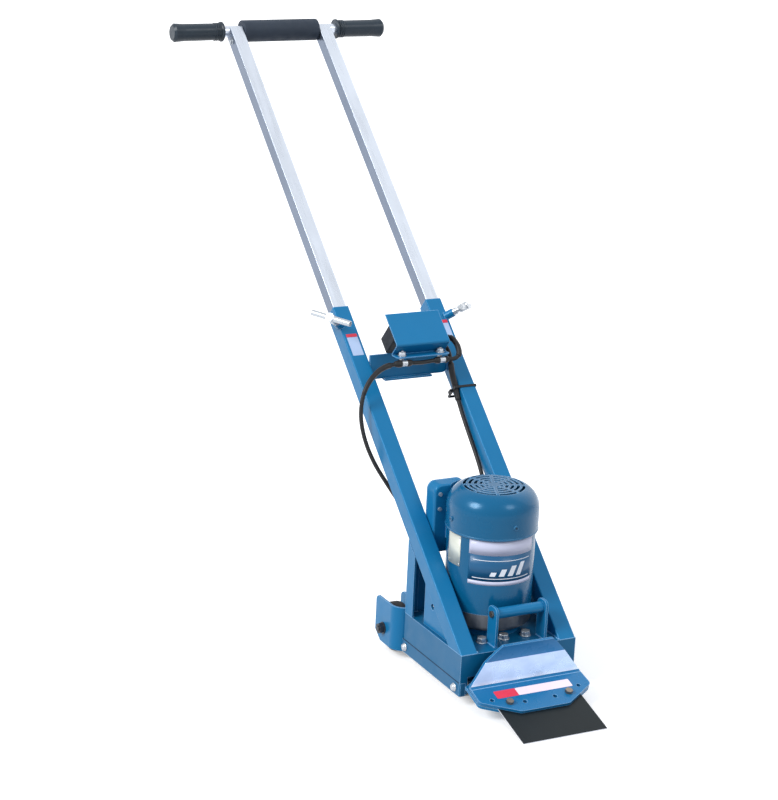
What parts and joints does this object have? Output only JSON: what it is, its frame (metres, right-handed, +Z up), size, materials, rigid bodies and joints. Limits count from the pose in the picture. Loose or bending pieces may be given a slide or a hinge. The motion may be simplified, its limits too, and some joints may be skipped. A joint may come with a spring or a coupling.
{
  "type": "power floor scraper",
  "caption": "Walk-behind electric floor scraper with an upright motor, a driven blade in a bolted clamp, rear wheels and a telescoping T-handle.",
  "frame": {"origin": "on the floor under the middle of the machine's length and width", "axes": "+Y runs back from the blade to the handlebar, +X is to the right when the blade is seen from in front, +Z is up"},
  "size_m": [0.51, 1.3842, 1.1335],
  "materials": {
    "blue_paint": "gloss enamel, medium blue",
    "silver_tube": "satin, drawn tube",
    "zinc": "bright zinc plate",
    "bare_steel": "machined",
    "blade_steel": "dark oiled spring steel with a ground edge",
    "cast_end": "plain casting",
    "grip_rubber": "matt black",
    "tyre_rubber": "matt black",
    "black_plastic": "fine grain",
    "cord_rubber": "smooth jacket",
    "stator_iron": "varnished"
  },
  "bodies": {
    "frame": {"base_housing": "blue_paint", "side_rails": "blue_paint", "bottom_pan": "bare_steel", "guide_strips": "bare_steel", "rail_bolts": "zinc", "top_bolts": "zinc", "left_frame_tube": "blue_paint", "right_frame_tube": "blue_paint", "rear_posts": "blue_paint", "gusset_plates": "blue_paint", "cross_plate": "blue_paint", "switch_hood": "blue_paint", "switch_box": "black_plastic", "motor_flange": "blue_paint", "motor_mount_bolts": "zinc", "motor_end_bell": "cast_end", "motor_shell": "blue_paint", "motor_top_bell": "cast_end", "motor_fan_cover": "blue_paint", "motor_cover_screws": "blue_paint", "motor_through_bolts": "bare_steel", "motor_stator": "stator_iron", "motor_bearings": "bare_steel", "terminal_box": "blue_paint", "terminal_cover": "blue_paint", "terminal_screws": "zinc", "wheel_brackets": "blue_paint", "wheel_axles": "zinc", "grab_brackets": "blue_paint", "grab_bar": "blue_paint", "grab_screws": "zinc", "cord_clips": "zinc", "clip_bolts": "zinc", "cord_glands": "black_plastic", "cable_tie": "black_plastic", "supply_cord_held": "cord_rubber", "supply_cord_free": "cord_rubber", "motor_lead": "cord_rubber", "supply_plug": "black_plastic"},
    "rotor": {"rotor_shaft": "bare_steel", "rotor_core": "stator_iron", "cooling_fan": "black_plastic", "eccentric": "bare_steel", "drive_bearing": "bare_steel"},
    "blade_carriage": {"carriage_plate": "blue_paint", "clamp_plate": "blue_paint", "deflector_plate": "blue_paint", "scraper_blade": "blade_steel", "clamp_bolts": "zinc"},
    "left_wheel": {"left_wheel_hub": "cast_end", "left_wheel_tyre": "tyre_rubber"},
    "right_wheel": {"right_wheel_hub": "cast_end", "right_wheel_tyre": "tyre_rubber"},
    "handle": {"inner_tubes": "silver_tube", "handlebar": "silver_tube", "handle_grips": "grip_rubber", "foam_sleeve": "grip_rubber"},
    "left_clamp_screw": {"left_tee_bolt": "zinc"},
    "right_clamp_screw": {"right_tee_bolt": "zinc"},
    "switch": {"switch_rocker": "black_plastic"}
  },
  "joints": [
    {"name": "motor_spin", "type": "hinge", "parent": "frame", "child": "rotor", "pos_m": [0, -0.38036, 0.2], "axis": [0, 0, 1], "continuous": true},
    {"name": "blade_stroke", "type": "slide", "parent": "frame", "child": "blade_carriage", "axis": [0, 1, 0], "range_m": [-0.003, 0.003]},
    {"name": "left_wheel_spin", "type": "hinge", "parent": "frame", "child": "left_wheel", "pos_m": [-0.1095, -0.21906, 0.049], "axis": [1, 0, 0], "continuous": true},
    {"name": "right_wheel_spin", "type": "hinge", "parent": "frame", "child": "right_wheel", "pos_m": [0.1095, -0.21906, 0.049], "axis": [1, 0, 0], "continuous": true},
    {"name": "handle_telescope", "type": "slide", "parent": "frame", "child": "handle", "axis": [0, 0.7528, 0.6583], "range_m": [-0.55, 0]},
    {"name": "left_clamp_turn", "type": "hinge", "parent": "frame", "child": "left_clamp_screw", "pos_m": [-0.125, 0.05702, 0.59904], "axis": [-0.7071, -0.4655, 0.5323], "continuous": true},
    {"name": "right_clamp_turn", "type": "hinge", "parent": "frame", "child": "right_clamp_screw", "pos_m": [0.125, 0.05702, 0.59904], "axis": [0.7071, -0.4655, 0.5323], "continuous": true},
    {"name": "switch_rock", "type": "hinge", "parent": "frame", "child": "switch", "pos_m": [-0.007, -0.01909, 0.59492], "axis": [1, 0, 0], "range_deg": [0, 20]}
  ]
}
